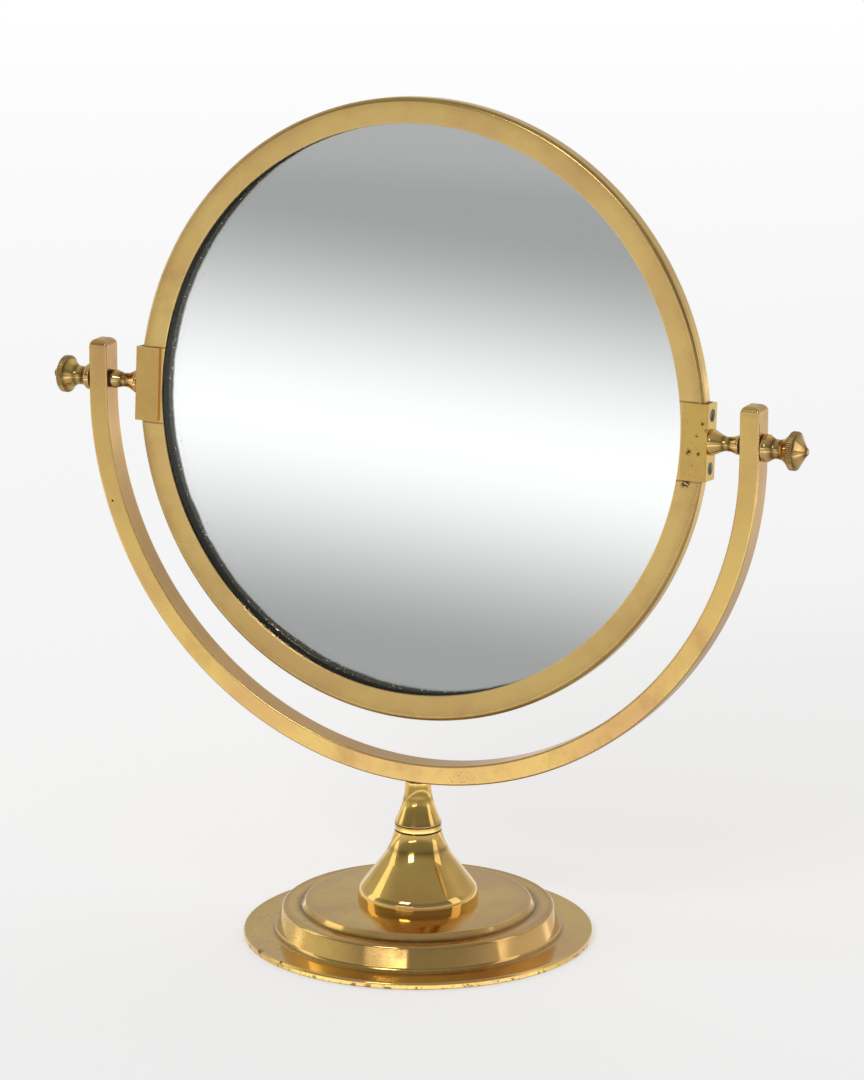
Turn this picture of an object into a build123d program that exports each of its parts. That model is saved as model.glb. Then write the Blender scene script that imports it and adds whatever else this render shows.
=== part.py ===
from build123d import *
import os
from math import ceil, cos, pi, radians, sin

# Table mirror with a round glass in a brass channel ring, which tilts in a half-round yoke.
# The yoke turns on a bell-shaped stem over a stepped, weighted foot.
# Millimetres. The origin is the middle of the foot's underside, +Z is up,
# the mirror faces -Y and the tilt axis lies along X.

# Ring that frames the glass, a channel rolled to a circle
ring_radius = 152.4
ring_face = 12.7
ring_web = 1.5
front_flange = 1.2
rear_flange = 1.0
rear_flange_width = 7.5
ring_edge_round = 2.2
ring_lip_round = 0.5
ring_split = 0.4
lean_back = 4.3

# Layers held in the channel
glass_thickness = 5.0
silvering_thickness = 0.15
packing_thickness = 0.65
back_plate_thickness = 1.0
glass_edge_gap = 1.5
glass_arris = 0.4
layer_step = 0.5

# Clips that fold over the ring and carry the pivots
clip_height = 37.0
clip_reach = 13.0
clip_plate = 1.3
clip_web = 1.5
clip_seat_gap = 0.05
clip_corner_round = 0.6
clip_bend_round = 0.5

# Countersunk screws through the clips
screw_spacing = 25.6
screw_head_radius = 3.1
screw_shank_radius = 1.5
screw_head_depth = 1.3
screw_tip_gap = 0.4
screw_slot_width = 0.8
screw_slot_depth = 0.7
screw_hole_gap = 0.05

# Bosses between the clips and the yoke
boss_length = 15.0
boss_flange_radius = 6.3
boss_flange_height = 1.4
boss_neck_radius = 3.5
boss_end_radius = 4.7
boss_end_height = 1.2
boss_spigot_radius = 3.0
boss_spigot_gap = 0.03
boss_bore_floor = 1.6
boss_waist_start = 6.9
boss_waist_end = 10.2
boss_waist_start_round = 6.0
boss_waist_end_round = 5.0

# Studs of the thumb knobs, which are the tilt pivots
stud_radius = 2.0
stud_running_gap = 0.05
stud_fixed_gap = 0.02
stud_in_boss = 10.8
stud_in_knob = 11.0
thread_pitch = 0.8
loosening_turns = 2

# Friction washers inside the arms and thrust washers under the knobs
friction_washer_radius = 4.4
friction_washer_thickness = 1.45
thrust_washer_radius = 5.8
thrust_washer_thickness = 0.5
washer_hole_gap = 0.3

# Thumb knobs, turned and knurled
knob_flange_radius = 6.7
knob_flange_height = 2.2
knob_neck_radius = 4.7
knob_neck_start = 5.2
knob_neck_end = 9.2
knob_cup_radius = 8.5
knob_rim_start = 13.6
knob_rim_radius = 9.3
knob_rim_width = 3.2
knob_rim_bevel = 0.4
knob_groove = 0.3
knob_cap_height = 4.4
knob_pip_radius = 1.9
knob_pip_height = 0.7
knob_neck_start_round = 3.0
knob_neck_end_round = 5.0
knurl_pitch = 0.96
knurl_depth = 0.35

# Yoke, a half-round bar with straight arm ends
yoke_bar_width = 10.1
yoke_bar_depth = 11.9
yoke_drop = 6.6
yoke_edge_round = 0.9
arm_rise = 20.3
arm_end_round = 3.6

# Stem collar under the yoke
collar_height = 24.9
collar_top_radius = 6.5
collar_neck_height = 9.1
collar_radius = 11.6
collar_shoulder_height = 21.1
collar_groove_height = 21.6
collar_groove_width = 0.5
collar_groove_depth = 0.5
collar_flare_round = 40.0

# Bell that stands on the foot
bell_height = 35.1
bell_top_radius = 11.8
bell_waist_radius = 13.7
bell_waist_drop = 8.9
bell_foot_radius = 30.2
bell_foot_height = 4.7
bell_waist_round = 36.0
bell_foot_round = 8.0
bell_wall = 4.0
bell_bearing_length = 14.0

# Stepped foot, a shell with a flat rim and two tiers
foot_radius = 87.0
foot_wall = 1.4
rim_lift = 0.3
rim_width = 2.4
rim_rise = 0.5
rim_round = 1.0
felt_thickness = 1.6
felt_edge_gap = 0.6
lower_tier_top_radius = 67.4
lower_tier_batter = 3.6
lower_tier_height = 12.4
upper_tier_top_radius = 56.0
upper_tier_batter = 2.4
upper_tier_height = 3.2
shoulder_fall = 0.5
top_rise = 0.7
tier_foot_round = 2.8
tier_edge_round = 1.6
small_tier_round = 1.2

# Iron weight under the foot
weight_side_gap = 1.0
weight_shoulder_gap = 0.3
weight_recess_radius = 11.0
weight_recess_roof = 10.0

# Spindle with its fastenings
spindle_radius = 3.0
spindle_running_gap = 0.05
spindle_fixed_gap = 0.03
spindle_free_gap = 0.6
spindle_floor_gap = 0.4
yoke_socket_depth = 7.0
swivel_washer_thickness = 0.5
swivel_washer_inset = 0.5
nut_across_flats = 10.0
nut_height = 4.6
plain_washer_radius = 6.2
plain_washer_thickness = 1.2
spring_washer_radius = 5.4
spring_washer_thickness = 1.3
spring_washer_cut = 0.8

# Roundings shared by the turned pieces
turned_edge_round = 0.4
turned_fine_round = 0.3
turned_root_round = 1.0
iron_edge_round = 0.8

# Places that follow from the sizes
ring_depth = (
    front_flange
    + glass_thickness
    + silvering_thickness
    + packing_thickness
    + back_plate_thickness
    + rear_flange
)
ring_front = -ring_depth / 2
ring_inner_radius = ring_radius - ring_face
channel_radius = ring_radius - ring_web
glass_radius = channel_radius - glass_edge_gap
glass_front = ring_front + front_flange
silvering_front = glass_front + glass_thickness
packing_front = silvering_front + silvering_thickness
back_plate_front = packing_front + packing_thickness

clip_inner_face = ring_radius + clip_seat_gap
clip_outer_face = clip_inner_face + clip_web
boss_outer_face = clip_outer_face + boss_length
yoke_inner_radius = boss_outer_face + friction_washer_thickness
yoke_outer_radius = yoke_inner_radius + yoke_bar_width
thrust_washer_face = yoke_outer_radius
knob_face = thrust_washer_face + thrust_washer_thickness
knob_travel = thread_pitch * loosening_turns

lower_tier_foot_radius = lower_tier_top_radius + lower_tier_batter
upper_tier_foot_radius = upper_tier_top_radius + upper_tier_batter
flange_top = felt_thickness + foot_wall
lower_tier_top = flange_top + lower_tier_height
upper_tier_foot = lower_tier_top - shoulder_fall
upper_tier_top = upper_tier_foot + upper_tier_height
foot_top = upper_tier_top + top_rise
foot_inner_top = upper_tier_top - foot_wall
bell_top = foot_top + bell_height
collar_bottom = bell_top + swivel_washer_thickness
collar_top = collar_bottom + collar_height
yoke_centre_height = collar_top + yoke_outer_radius
pivot_height = yoke_centre_height + yoke_drop

spindle_bottom = felt_thickness + spindle_floor_gap
spindle_top = collar_top + yoke_socket_depth
plain_washer_bottom = weight_recess_roof - plain_washer_thickness
spring_washer_bottom = plain_washer_bottom - spring_washer_thickness
nut_bottom = spring_washer_bottom - nut_height

RIGHT = 1
LEFT = -1


def outline(*corners):
    """Closed face in the XZ plane from corners of (radius, height, rounding)."""
    points = [(radius, 0, height) for radius, height, rounding in corners]
    roundings = [rounding for radius, height, rounding in corners]
    return make_face(FilletPolyline(*points, radius=roundings, close=True))


def turned(*corners):
    """Solid turned about Z from corners of (radius, height, rounding)."""
    return revolve(outline(*corners), Axis.Z)


def rod(radius, bottom, top):
    """Upright cylinder between two heights."""
    base = (Align.CENTER, Align.CENTER, Align.MIN)
    return Pos(0, 0, bottom) * Cylinder(radius, top - bottom, align=base)


def disc(radius, front, thickness):
    """Disc of the mirror's stack, with its axis along Y, from its front face backwards."""
    return Rot(-90, 0, 0) * rod(radius, front, front + thickness)


def along_pivot(shape, side, distance):
    """Turn a shape made along +Z onto the pivot axis of one side, this far from the middle."""
    return Pos(side * distance, 0, 0) * Rot(0, side * 90, 0) * shape


def on_mirror(shape):
    """Carry a shape made about the tilt axis to its place, leaning back as at rest."""
    return Pos(0, 0, pivot_height) * Rot(-lean_back, 0, 0) * shape


def at_pivot(shape):
    """Lift a shape made about the tilt axis to the pivot height."""
    return Pos(0, 0, pivot_height) * shape


def frame_ring():
    """Channel section rolled to a circle, with its ends meeting under the left clip."""
    section = make_face(
        FilletPolyline(
            (ring_inner_radius, ring_front),
            (ring_radius, ring_front),
            (ring_radius, -ring_front),
            (ring_radius - rear_flange_width, -ring_front),
            (ring_radius - rear_flange_width, -ring_front - rear_flange),
            (channel_radius, -ring_front - rear_flange),
            (channel_radius, glass_front),
            (ring_inner_radius, glass_front),
            radius=[ring_lip_round, ring_edge_round, ring_edge_round, 0, 0, 0, 0, 0],
            close=True,
        )
    )
    ring = revolve(section, Axis.Y)
    ring -= Pos(-ring_radius, 0, 0) * Box(3 * ring_face, 2 * ring_depth, ring_split)
    for side in (LEFT, RIGHT):
        for height in screw_heights():
            hole = rod(screw_shank_radius + screw_hole_gap, 0, 2 * ring_face)
            ring -= Pos(0, 0, height) * along_pivot(hole, side, ring_inner_radius)
    return on_mirror(ring)


def mirror_glass():
    """Plate glass disc with ground arrises."""
    glass = disc(glass_radius, glass_front, glass_thickness)
    glass = chamfer(glass.edges().filter_by(GeomType.CIRCLE), glass_arris)
    return on_mirror(glass)


def mirror_silvering():
    """Silver and backing paint on the rear of the glass."""
    radius = glass_radius - glass_arris
    return on_mirror(disc(radius, silvering_front, silvering_thickness))


def packing_sheet():
    """Card that pads the silvering against the back plate."""
    return on_mirror(disc(glass_radius, packing_front, packing_thickness))


def back_plate():
    """Sheet brass back held behind the card by the rear flange."""
    return on_mirror(disc(glass_radius + layer_step, back_plate_front, back_plate_thickness))


def screw_heights():
    """Heights of the two clip screws about the tilt axis."""
    return (-screw_spacing / 2, screw_spacing / 2)


def countersink(gap):
    """Cone and shank of a clip screw along +Z, with its head's face at height zero."""
    tip = -(clip_outer_face - glass_radius) + screw_tip_gap
    return turned(
        (0, tip, 0),
        (screw_shank_radius + gap, tip, 0),
        (screw_shank_radius + gap, -screw_head_depth, 0),
        (screw_head_radius + gap, 0, 0),
        (0, 0, 0),
    )


def clip(side):
    """U-shaped clip folded over the ring, with a boss hole and two countersinks."""
    half_depth = ring_depth / 2 + clip_plate
    outer = Box(clip_reach, 2 * half_depth, clip_height, align=(Align.MAX, Align.CENTER, Align.CENTER))
    outer = fillet(outer.faces().sort_by(Axis.X)[0].edges().filter_by(Axis.Y), clip_corner_round)
    outer = fillet(outer.faces().sort_by(Axis.X)[-1].edges().filter_by(Axis.Z), clip_bend_round)
    slot = Box(2 * clip_reach, ring_depth, 2 * clip_height, align=(Align.MAX, Align.CENTER, Align.CENTER))
    shape = outer - Pos(-clip_web, 0, 0) * slot
    shape = Pos(clip_outer_face, 0, 0) * shape
    shape -= along_pivot(rod(boss_spigot_radius + boss_spigot_gap, 0, 2 * clip_web), RIGHT, ring_radius)
    for height in screw_heights():
        shape -= Pos(clip_outer_face, 0, height) * Rot(0, 90, 0) * countersink(screw_hole_gap)
    if side == LEFT:
        shape = Rot(0, 0, 180) * shape
    return on_mirror(shape)


def clip_screws(side):
    """Two slotted countersunk screws that hold a clip to the ring."""
    screws = []
    for height, turn in zip(screw_heights(), (15, -20)):
        slot = Box(3 * screw_head_radius, screw_slot_width, 2 * screw_slot_depth)
        screw = countersink(0) - Rot(0, 0, turn) * slot
        screws.append(on_mirror(Pos(0, 0, height) * along_pivot(screw, side, clip_outer_face)))
    return Compound(children=screws)


def boss(side):
    """Waisted boss with a spigot riveted through the clip and a tapped bore for the stud."""
    shape = turned(
        (0, -clip_web, 0),
        (boss_spigot_radius, -clip_web, 0),
        (boss_spigot_radius, 0, 0),
        (boss_flange_radius, 0, turned_edge_round),
        (boss_flange_radius, boss_flange_height, turned_root_round),
        (boss_neck_radius, boss_waist_start, boss_waist_start_round),
        (boss_neck_radius, boss_waist_end, boss_waist_end_round),
        (boss_end_radius, boss_length - boss_end_height, turned_edge_round),
        (boss_end_radius, boss_length, turned_fine_round),
        (0, boss_length, 0),
    )
    shape -= rod(stud_radius + stud_running_gap, boss_bore_floor, 2 * boss_length)
    return on_mirror(along_pivot(shape, side, clip_outer_face))


def washer(radius, thickness, shaft, gap):
    """Flat ring washer that stands on height zero."""
    return rod(radius, 0, thickness) - rod(shaft + gap, -thickness, 2 * thickness)


def friction_washer(side):
    """Fibre washer between a boss and the yoke's arm."""
    shape = washer(friction_washer_radius, friction_washer_thickness, stud_radius, washer_hole_gap)
    return at_pivot(along_pivot(shape, side, boss_outer_face))


def thrust_washer(side):
    """Thin fibre washer under a thumb knob."""
    shape = washer(thrust_washer_radius, thrust_washer_thickness, stud_radius, washer_hole_gap)
    return at_pivot(along_pivot(shape, side, thrust_washer_face))


def knob_stud(side):
    """Stud that stays well inside the boss when its knob is slackened."""
    inner_end = boss_outer_face - stud_in_boss - knob_travel
    outer_end = knob_face + stud_in_knob
    shape = rod(stud_radius, inner_end, outer_end)
    shape = chamfer(shape.edges().sort_by(Axis.Z)[0], stud_radius / 4)
    return at_pivot(along_pivot(shape, side, 0))


def knurled_disc():
    """Disc with straight V knurls round its edge, bevelled on both faces."""
    count = ceil(2 * pi * knob_rim_radius / knurl_pitch)
    corners = []
    for i in range(2 * count):
        radius = knob_rim_radius - (knurl_depth if i % 2 else 0)
        angle = pi * i / count
        corners.append((radius * cos(angle), radius * sin(angle)))
    toothed = extrude(make_face(Polyline(*corners, close=True)), knob_rim_width)
    bevelled = turned(
        (0, 0, 0),
        (knob_rim_radius - knob_rim_bevel, 0, 0),
        (knob_rim_radius, knob_rim_bevel, 0),
        (knob_rim_radius, knob_rim_width - knob_rim_bevel, 0),
        (knob_rim_radius - knob_rim_bevel, knob_rim_width, 0),
        (0, knob_rim_width, 0),
    )
    return toothed & bevelled


def knob(side):
    """Thumb knob: flange, waist, cup, knurled rim and a coned cap with a pip."""
    rim_end = knob_rim_start + knob_rim_width
    cap_end = rim_end + knob_cap_height
    body = turned(
        (0, 0, 0),
        (knob_flange_radius, 0, turned_edge_round),
        (knob_flange_radius, knob_flange_height, turned_root_round),
        (knob_neck_radius, knob_neck_start, knob_neck_start_round),
        (knob_neck_radius, knob_neck_end, knob_neck_end_round),
        (knob_cup_radius, knob_rim_start, 0),
        (knob_cup_radius, rim_end + knob_groove, turned_root_round),
        (knob_pip_radius, cap_end, 0),
        (knob_pip_radius, cap_end + knob_pip_height, turned_edge_round),
        (0, cap_end + knob_pip_height, 0),
    )
    body += Pos(0, 0, knob_rim_start) * knurled_disc()
    body -= rod(stud_radius + stud_fixed_gap, -1, stud_in_knob)
    return at_pivot(along_pivot(body, side, knob_face))


def yoke_bar():
    """Half-round bar with straight arms, rounded ends, pivot holes and a socket for the spindle."""
    middle = (yoke_inner_radius + yoke_outer_radius) / 2
    profile = RectangleRounded(yoke_bar_width, yoke_bar_depth, yoke_edge_round)
    shape = revolve(Pos(middle, 0, 0) * profile, Axis.Y, 180)
    for side in (LEFT, RIGHT):
        arm = extrude(Pos(side * middle, 0, 0) * profile, yoke_drop + arm_rise)
        arm = fillet(arm.faces().sort_by(Axis.Z)[-1].edges(), arm_end_round)
        shape += arm
    shape = Pos(0, 0, yoke_centre_height) * shape
    for side in (LEFT, RIGHT):
        hole = rod(stud_radius + stud_running_gap, 0, 3 * yoke_bar_width)
        shape -= at_pivot(along_pivot(hole, side, yoke_inner_radius - yoke_bar_width))
    return shape - rod(spindle_radius + spindle_fixed_gap, 0, spindle_top)


def stem_collar():
    """Flared collar under the yoke, with a turned groove above its lower band."""
    groove = collar_top - collar_groove_height
    shape = turned(
        (0, collar_bottom, 0),
        (collar_radius, collar_bottom, turned_edge_round),
        (collar_radius, groove - collar_groove_width, 0),
        (collar_radius - collar_groove_depth, groove - collar_groove_width / 2, 0),
        (collar_radius, groove, 0),
        (collar_radius, collar_top - collar_shoulder_height, turned_fine_round),
        (collar_top_radius, collar_top - collar_neck_height, collar_flare_round),
        (collar_top_radius, collar_top, turned_edge_round),
        (0, collar_top, 0),
    )
    return shape - rod(spindle_radius + spindle_fixed_gap, 0, spindle_top)


def bell():
    """Bell that flares from the collar to the foot, hollow below its bearing."""
    shape = turned(
        (0, foot_top, 0),
        (bell_foot_radius, foot_top, 0),
        (bell_foot_radius, foot_top + bell_foot_height, bell_foot_round),
        (bell_waist_radius, bell_top - bell_waist_drop, bell_waist_round),
        (bell_top_radius, bell_top, 0),
        (0, bell_top, 0),
    )
    cavity_roof = bell_top - bell_bearing_length
    shape -= turned(
        (0, foot_top, 0),
        (bell_foot_radius - bell_wall, foot_top, 0),
        (bell_waist_radius - bell_wall, cavity_roof, 0),
        (0, cavity_roof, 0),
    )
    return shape - rod(spindle_radius + spindle_running_gap, foot_top, bell_top + 1)


def foot():
    """Stepped shell with a plain rim, two tiers and a gently domed top."""
    shape = turned(
        (0, foot_inner_top, 0),
        (upper_tier_top_radius - foot_wall, foot_inner_top, 0),
        (upper_tier_foot_radius - foot_wall, upper_tier_foot - foot_wall, 0),
        (lower_tier_top_radius - foot_wall, lower_tier_top - foot_wall, 0),
        (lower_tier_foot_radius - foot_wall, felt_thickness, 0),
        (foot_radius - rim_width, felt_thickness, 0),
        (foot_radius - rim_width, rim_lift, 0),
        (foot_radius, rim_lift, turned_fine_round),
        (foot_radius, flange_top + rim_rise, rim_round),
        (lower_tier_foot_radius, flange_top, tier_foot_round),
        (lower_tier_top_radius, lower_tier_top, tier_edge_round),
        (upper_tier_foot_radius, upper_tier_foot, small_tier_round),
        (upper_tier_top_radius, upper_tier_top, small_tier_round),
        (bell_foot_radius + foot_wall, foot_top, 0),
        (0, foot_top, 0),
    )
    return shape - rod(spindle_radius + spindle_free_gap, 0, foot_top + 1)


def weight():
    """Stepped iron weight that fills the tiers, with a recess for the spindle nut."""
    lower_radius = lower_tier_foot_radius - foot_wall - weight_side_gap
    shoulder_radius = lower_tier_top_radius - foot_wall - weight_side_gap
    upper_radius = upper_tier_top_radius - foot_wall - weight_side_gap
    shoulder = upper_tier_foot - foot_wall - weight_shoulder_gap
    shape = turned(
        (0, felt_thickness, 0),
        (lower_radius, felt_thickness, iron_edge_round),
        (shoulder_radius, shoulder, iron_edge_round),
        (upper_radius, shoulder, 0),
        (upper_radius, foot_inner_top, iron_edge_round),
        (0, foot_inner_top, 0),
    )
    shape -= rod(weight_recess_radius, 0, weight_recess_roof)
    return shape - rod(spindle_radius + spindle_free_gap, 0, foot_top)


def felt_pad():
    """Felt disc inside the rim, the face that the mirror stands on."""
    return rod(foot_radius - rim_width - felt_edge_gap, 0, felt_thickness)


def swivel_washer():
    """Dark fibre washer between the bell and the collar."""
    radius = collar_radius - swivel_washer_inset
    shape = washer(radius, swivel_washer_thickness, spindle_radius, washer_hole_gap)
    return Pos(0, 0, bell_top) * shape


def spindle():
    """Steel spindle from under the weight up into the yoke."""
    shape = rod(spindle_radius, spindle_bottom, spindle_top)
    return chamfer(shape.edges().filter_by(GeomType.CIRCLE), spindle_radius / 5)


def spindle_nut():
    """Hexagon nut under the weight, with its corners turned off."""
    hexagon = extrude(RegularPolygon(nut_across_flats / 2, 6, major_radius=False), nut_height)
    corner_radius = nut_across_flats / 2 / cos(radians(30))
    bevel = corner_radius - nut_across_flats / 2
    turned_blank = turned(
        (0, 0, 0),
        (nut_across_flats / 2, 0, 0),
        (corner_radius, bevel / 2, 0),
        (corner_radius, nut_height - bevel / 2, 0),
        (nut_across_flats / 2, nut_height, 0),
        (0, nut_height, 0),
    )
    shape = Pos(0, 0, nut_bottom) * (hexagon & turned_blank)
    return shape - rod(spindle_radius + spindle_fixed_gap, 0, foot_top)


def plain_washer():
    """Plain steel washer against the weight."""
    shape = washer(plain_washer_radius, plain_washer_thickness, spindle_radius, washer_hole_gap)
    return Pos(0, 0, plain_washer_bottom) * shape


def spring_washer():
    """Split spring washer that keeps the swivel's friction even."""
    shape = washer(spring_washer_radius, spring_washer_thickness, spindle_radius, washer_hole_gap)
    middle = (spring_washer_radius + spindle_radius) / 2
    cut = Rot(30, 0, 0) * Box(2 * spring_washer_radius, spring_washer_cut, 6 * spring_washer_thickness)
    shape -= Pos(middle + spring_washer_radius / 2, 0, spring_washer_thickness / 2) * cut
    return Pos(0, 0, spring_washer_bottom) * shape


nodes = {
    "foot": foot(),
    "bell": bell(),
    "iron_weight": weight(),
    "felt_pad": felt_pad(),
    "swivel_washer": swivel_washer(),
    "spindle": spindle(),
    "spindle_nut": spindle_nut(),
    "plain_washer": plain_washer(),
    "spring_washer": spring_washer(),
    "stem_collar": stem_collar(),
    "yoke_bar": yoke_bar(),
    "frame_ring": frame_ring(),
    "mirror_glass": mirror_glass(),
    "mirror_silvering": mirror_silvering(),
    "packing_sheet": packing_sheet(),
    "back_plate": back_plate(),
}
for side, name in ((LEFT, "left"), (RIGHT, "right")):
    nodes["clip_" + name] = clip(side)
    nodes["clip_screws_" + name] = clip_screws(side)
    nodes["boss_" + name] = boss(side)
    nodes["friction_washer_" + name] = friction_washer(side)
    nodes["thrust_washer_" + name] = thrust_washer(side)
    nodes["knob_stud_" + name] = knob_stud(side)
    nodes["knob_" + name] = knob(side)

os.makedirs("parts", exist_ok=True)
for name, shape in nodes.items():
    export_step(shape, "parts/" + name + ".step")
print("tilt axis height", round(pivot_height, 3))
print("ring depth", round(ring_depth, 3))
print("knob travel", knob_travel, "or per radian", round(thread_pitch / (2 * pi), 6))
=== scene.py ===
"""Finish, light and camera for a brass table mirror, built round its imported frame.

Turned pieces are a rounded profile carried round an axis, and the yoke is a rounded section carried along a
half-round path, both worked out with numpy. The folded clips are smoothed copies of their nodes. Lengths in
the classes are millimetres, and the builders turn them to metres.
"""

import logging
import math
from dataclasses import dataclass
from enum import Enum

import bmesh
import bpy
import numpy as np
from mathutils import Matrix, Vector


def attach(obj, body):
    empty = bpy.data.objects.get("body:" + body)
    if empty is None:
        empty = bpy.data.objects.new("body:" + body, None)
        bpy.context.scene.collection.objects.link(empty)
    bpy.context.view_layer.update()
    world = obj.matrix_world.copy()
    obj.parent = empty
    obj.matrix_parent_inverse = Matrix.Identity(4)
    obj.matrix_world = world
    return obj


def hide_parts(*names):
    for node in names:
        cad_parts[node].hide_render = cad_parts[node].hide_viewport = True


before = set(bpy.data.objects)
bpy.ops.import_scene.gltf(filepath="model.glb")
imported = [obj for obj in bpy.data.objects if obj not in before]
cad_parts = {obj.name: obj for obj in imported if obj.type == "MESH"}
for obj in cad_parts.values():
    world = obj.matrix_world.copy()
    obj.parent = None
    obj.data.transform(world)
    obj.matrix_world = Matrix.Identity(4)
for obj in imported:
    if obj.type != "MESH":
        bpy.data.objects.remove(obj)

LOG = logging.getLogger("table_mirror")
MM = 0.001
PIVOT = 266.4
FINEST_ROUNDING = 0.06
HOLD_REACH = 0.25
CREASE_REACH = 1.6
EDGE_REACH = 0.9
SAME_PLACE = 1e-9

Point = tuple[float, float, float]
Corner = tuple[float, float, float]
Colour = tuple[float, float, float]
Stops = tuple[tuple[float, float], ...]


class Side(Enum):
    """The two ends of the tilt axis."""

    LEFT = -1
    RIGHT = 1

    @property
    def word(self) -> str:
        """Lower-case name, as the nodes carry it."""
        return self.name.lower()


class Turning(Enum):
    """Axis that a turned piece is made about."""

    UPRIGHT = "z"
    PIVOT_LEFT = "-x"
    PIVOT_RIGHT = "+x"
    MIRROR = "y"


@dataclass(frozen=True)
class Profile:
    """Rounded outline of a turned piece or a section.

    Attributes:
        points: Points in the plane of the outline, in millimetres, shape (n, 2).
        run: Length along the outline up to each point, in millimetres.
        crease: One in hollow corners, falling to nothing a few millimetres away.
        edge: One on outer corners, falling to nothing a millimetre or so away.
    """

    points: np.ndarray
    run: np.ndarray
    crease: np.ndarray
    edge: np.ndarray

    def values(self, rows: int) -> dict[str, np.ndarray]:
        """Run in metres, crease and edge, repeated for a number of rows."""
        parts = {"run": self.run * MM, "crease": self.crease, "edge": self.edge}
        return {key: np.tile(value, (rows, 1)) for key, value in parts.items()}


def unit(vectors: np.ndarray) -> np.ndarray:
    """Vectors scaled to length one, with nothing vectors left as they are."""
    length = np.linalg.norm(vectors, axis=-1, keepdims=True)
    return vectors / np.maximum(length, 1e-12)


def rounded_profile(corners: list[Corner], closed: bool = False, steps: int = 7) -> Profile:
    """Outline through corners, each with its own rounding.

    A corner's arc touches both its sides at the rounding's radius over the tangent of half the angle between
    them, and its points are the spherical blend of the two touching radii. Each side gets two points close to
    its ends and one in its middle, so that smooth shading stays flat between the arcs. No such point stands
    close to the axis, where its faces would be slivers.

    Args:
        corners: (radius or x, height or y, rounding) in millimetres, running anticlockwise round the
            material. A rounding of nothing gives the finest one.
        closed: Whether the last corner joins the first. An open outline keeps its two ends sharp.
        steps: Points in each arc.

    Returns:
        The outline with its run, crease and edge values.
    """
    table = np.asarray(corners, float)
    place = table[:, :2]
    rounding = np.maximum(table[:, 2], FINEST_ROUNDING)
    to_last = unit(np.roll(place, 1, 0) - place)
    to_next = unit(np.roll(place, -1, 0) - place)
    half = np.arccos(np.clip((to_last * to_next).sum(1), -1, 1)) / 2
    tangent = rounding / np.tan(half)
    if not closed:
        rounding[[0, -1]] = 0
        tangent[[0, -1]] = 0
    centre = place + unit(to_last + to_next) * (rounding / np.sin(half))[:, None]
    start = place + to_last * tangent[:, None]
    end = place + to_next * tangent[:, None]
    sweep = np.maximum(math.pi - 2 * half, 1e-6)[:, None, None]
    part = np.linspace(0, 1, steps)[None, :, None]
    from_start = np.sin((1 - part) * sweep) / np.sin(sweep)
    from_end = np.sin(part * sweep) / np.sin(sweep)
    arcs = centre[:, None] + from_start * (start - centre)[:, None] + from_end * (end - centre)[:, None]
    if not closed:
        arcs[[0, -1]] = place[[0, -1], None]
    side = np.roll(start, -1, 0) - end
    hold = np.minimum(HOLD_REACH, np.linalg.norm(side, axis=1) / 4)[:, None] * unit(side)
    sides = np.stack([end + hold, end + side / 2, end + side - hold], 1)
    points = np.concatenate([arcs, sides], 1)
    turn = to_next[:, 0] * to_last[:, 1] - to_next[:, 1] * to_last[:, 0]
    if not closed:
        turn[[0, -1]] = 0
        points = points.reshape(-1, 2)[steps - 1 : -3 - (steps - 1)]
        on_axis = points[[0, -1], 0] < SAME_PLACE
        points = np.delete(points, np.array([1, -2])[on_axis], axis=0)
    else:
        points = points.reshape(-1, 2)
    step = np.linalg.norm(np.diff(points, axis=0, prepend=points[:1]), axis=1)
    away = np.linalg.norm(points[:, None] - place[None], axis=2)
    hollow = np.where(turn < -0.05, 1.0, 0.0)
    proud = np.where(turn > 0.05, 1.0, 0.0)
    return Profile(
        points=points,
        run=np.cumsum(step),
        crease=(np.exp(-((away / CREASE_REACH) ** 2)) * hollow).max(1),
        edge=(np.exp(-((away / EDGE_REACH) ** 2)) * proud).max(1),
    )


def grid_object(name: str, points: np.ndarray, values: dict[str, np.ndarray], wrap_first: bool,
                wrap_second: bool, flip: bool = False) -> bpy.types.Object:
    """Object from a grid of points, with its poles closed.

    Columns at either end of the grid whose points all meet, when the columns don't wrap, become one vertex
    with a fan of triangles.

    Args:
        name: Name of the object and its mesh.
        points: Points in metres in the frame of the row, shape (m, n, 3).
        values: Attribute name to values of shape (m, n).
        wrap_first: Whether the last row joins the first.
        wrap_second: Whether the last column joins the first.
        flip: Turns every face over.

    Returns:
        The smooth-shaded object, linked to the scene.
    """
    rows, columns = points.shape[:2]
    index = np.arange(rows * columns).reshape(rows, columns)
    if not wrap_second:
        for column in (0, columns - 1):
            if np.ptp(points[:, column], axis=0).max() < SAME_PLACE:
                index[:, column] = index[0, column]
    below = np.roll(index, -1, 0) if wrap_first else index[1:]
    above = index if wrap_first else index[:-1]
    if wrap_second:
        quads = np.stack([above, below, np.roll(below, -1, 1), np.roll(above, -1, 1)], -1)
    else:
        quads = np.stack([above[:, :-1], below[:, :-1], below[:, 1:], above[:, 1:]], -1)
    quads = quads.reshape(-1, 4)
    start_pole = quads[:, 0] == quads[:, 1]
    end_pole = quads[:, 2] == quads[:, 3]
    faces = quads[~start_pole & ~end_pole].tolist()
    faces += quads[start_pole][:, [0, 2, 3]].tolist()
    faces += quads[end_pole][:, [0, 1, 2]].tolist()
    mesh = bpy.data.meshes.new(name)
    mesh.from_pydata(points.reshape(-1, 3).tolist(), [], faces)
    for key, value in values.items():
        layer = mesh.attributes.new(key, "FLOAT", "POINT")
        layer.data.foreach_set("value", value.astype(np.float32).ravel())
    return finish_mesh(name, mesh, flip)


def linked(name: str, data: bpy.types.ID) -> bpy.types.Object:
    """New object for a mesh, light or camera, linked to the scene."""
    item = bpy.data.objects.new(name, data)
    bpy.context.scene.collection.objects.link(item)
    return item


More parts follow.
